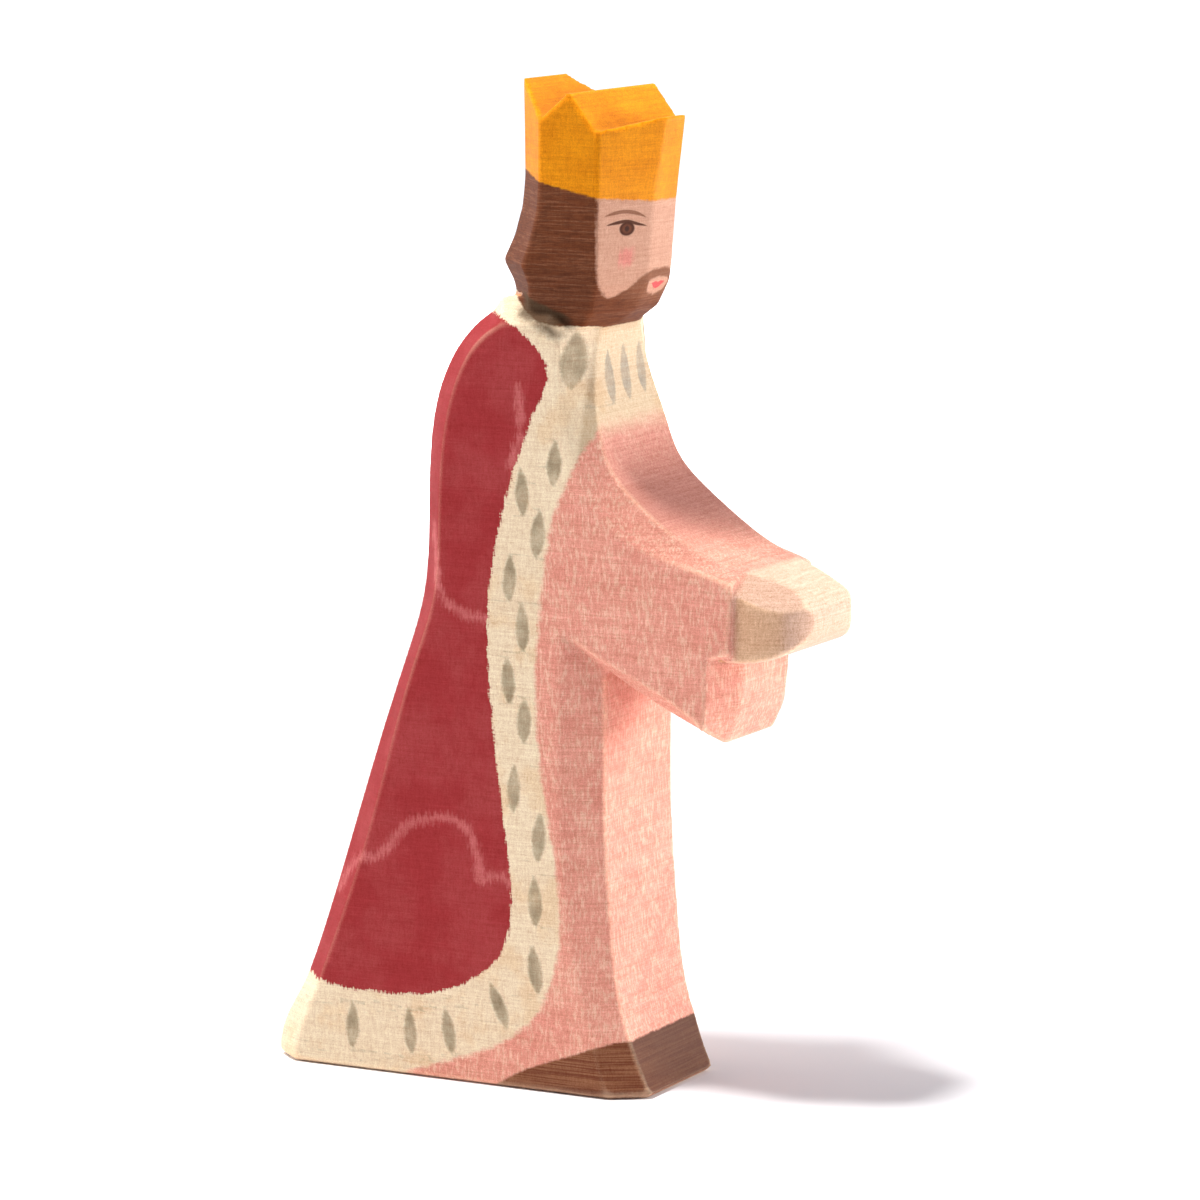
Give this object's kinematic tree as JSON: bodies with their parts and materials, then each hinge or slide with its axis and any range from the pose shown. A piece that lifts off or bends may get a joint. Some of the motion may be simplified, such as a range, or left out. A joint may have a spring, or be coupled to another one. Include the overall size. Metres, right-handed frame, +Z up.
{
  "type": "carved wooden king figure",
  "caption": "Standing toy king sawn from a maple board and glazed: notched crown, red mantle with cream trim, pink tunic, both arms held out in front.",
  "frame": {"origin": "on the floor plane, on the figure's middle plane, half way along the flat base", "axes": "+Z up, -Y the way the figure faces, +X the figure's left-hand side (the board's thickness runs along X)"},
  "size_m": [0.0314, 0.1001, 0.1704],
  "materials": {
    "maple_body": "fine sanded bare maple, lightly oiled",
    "crown_glaze": "orange-yellow water stain rubbed into the maple, matt",
    "hair_beard_glaze": "brown water stain, matt, grain showing",
    "face_glaze": "thin skin-coloured stain, matt",
    "brow_strokes": "brown brush line, matt",
    "eyelid_strokes": "dark brown brush line, matt",
    "irises": "brown painted dot, matt",
    "pupils": "dark brown painted dot, matt",
    "cheek_blush": "pink stain dabbed on the cheek, matt",
    "lips": "red brush line, matt",
    "mantle_glaze": "red water stain with darker dried edges, matt",
    "ermine_trim_glaze": "cream stain, nearly bare maple, matt",
    "ermine_spots": "grey-beige brush touches, matt",
    "tunic_glaze": "pink water stain, matt, grain showing",
    "shoe_glaze": "brown water stain, matt, worn at the edges"
  },
  "bodies": {
    "root": {"maple_body": "maple_body", "crown_glaze": "crown_glaze", "hair_beard_glaze": "hair_beard_glaze", "face_glaze": "face_glaze", "brow_strokes": "brow_strokes", "eyelid_strokes": "eyelid_strokes", "irises": "irises", "pupils": "pupils", "cheek_blush": "cheek_blush", "lips": "lips", "mantle_glaze": "mantle_glaze", "ermine_trim_glaze": "ermine_trim_glaze", "ermine_spots": "ermine_spots", "tunic_glaze": "tunic_glaze", "shoe_glaze": "shoe_glaze"}
  },
  "joints": []
}
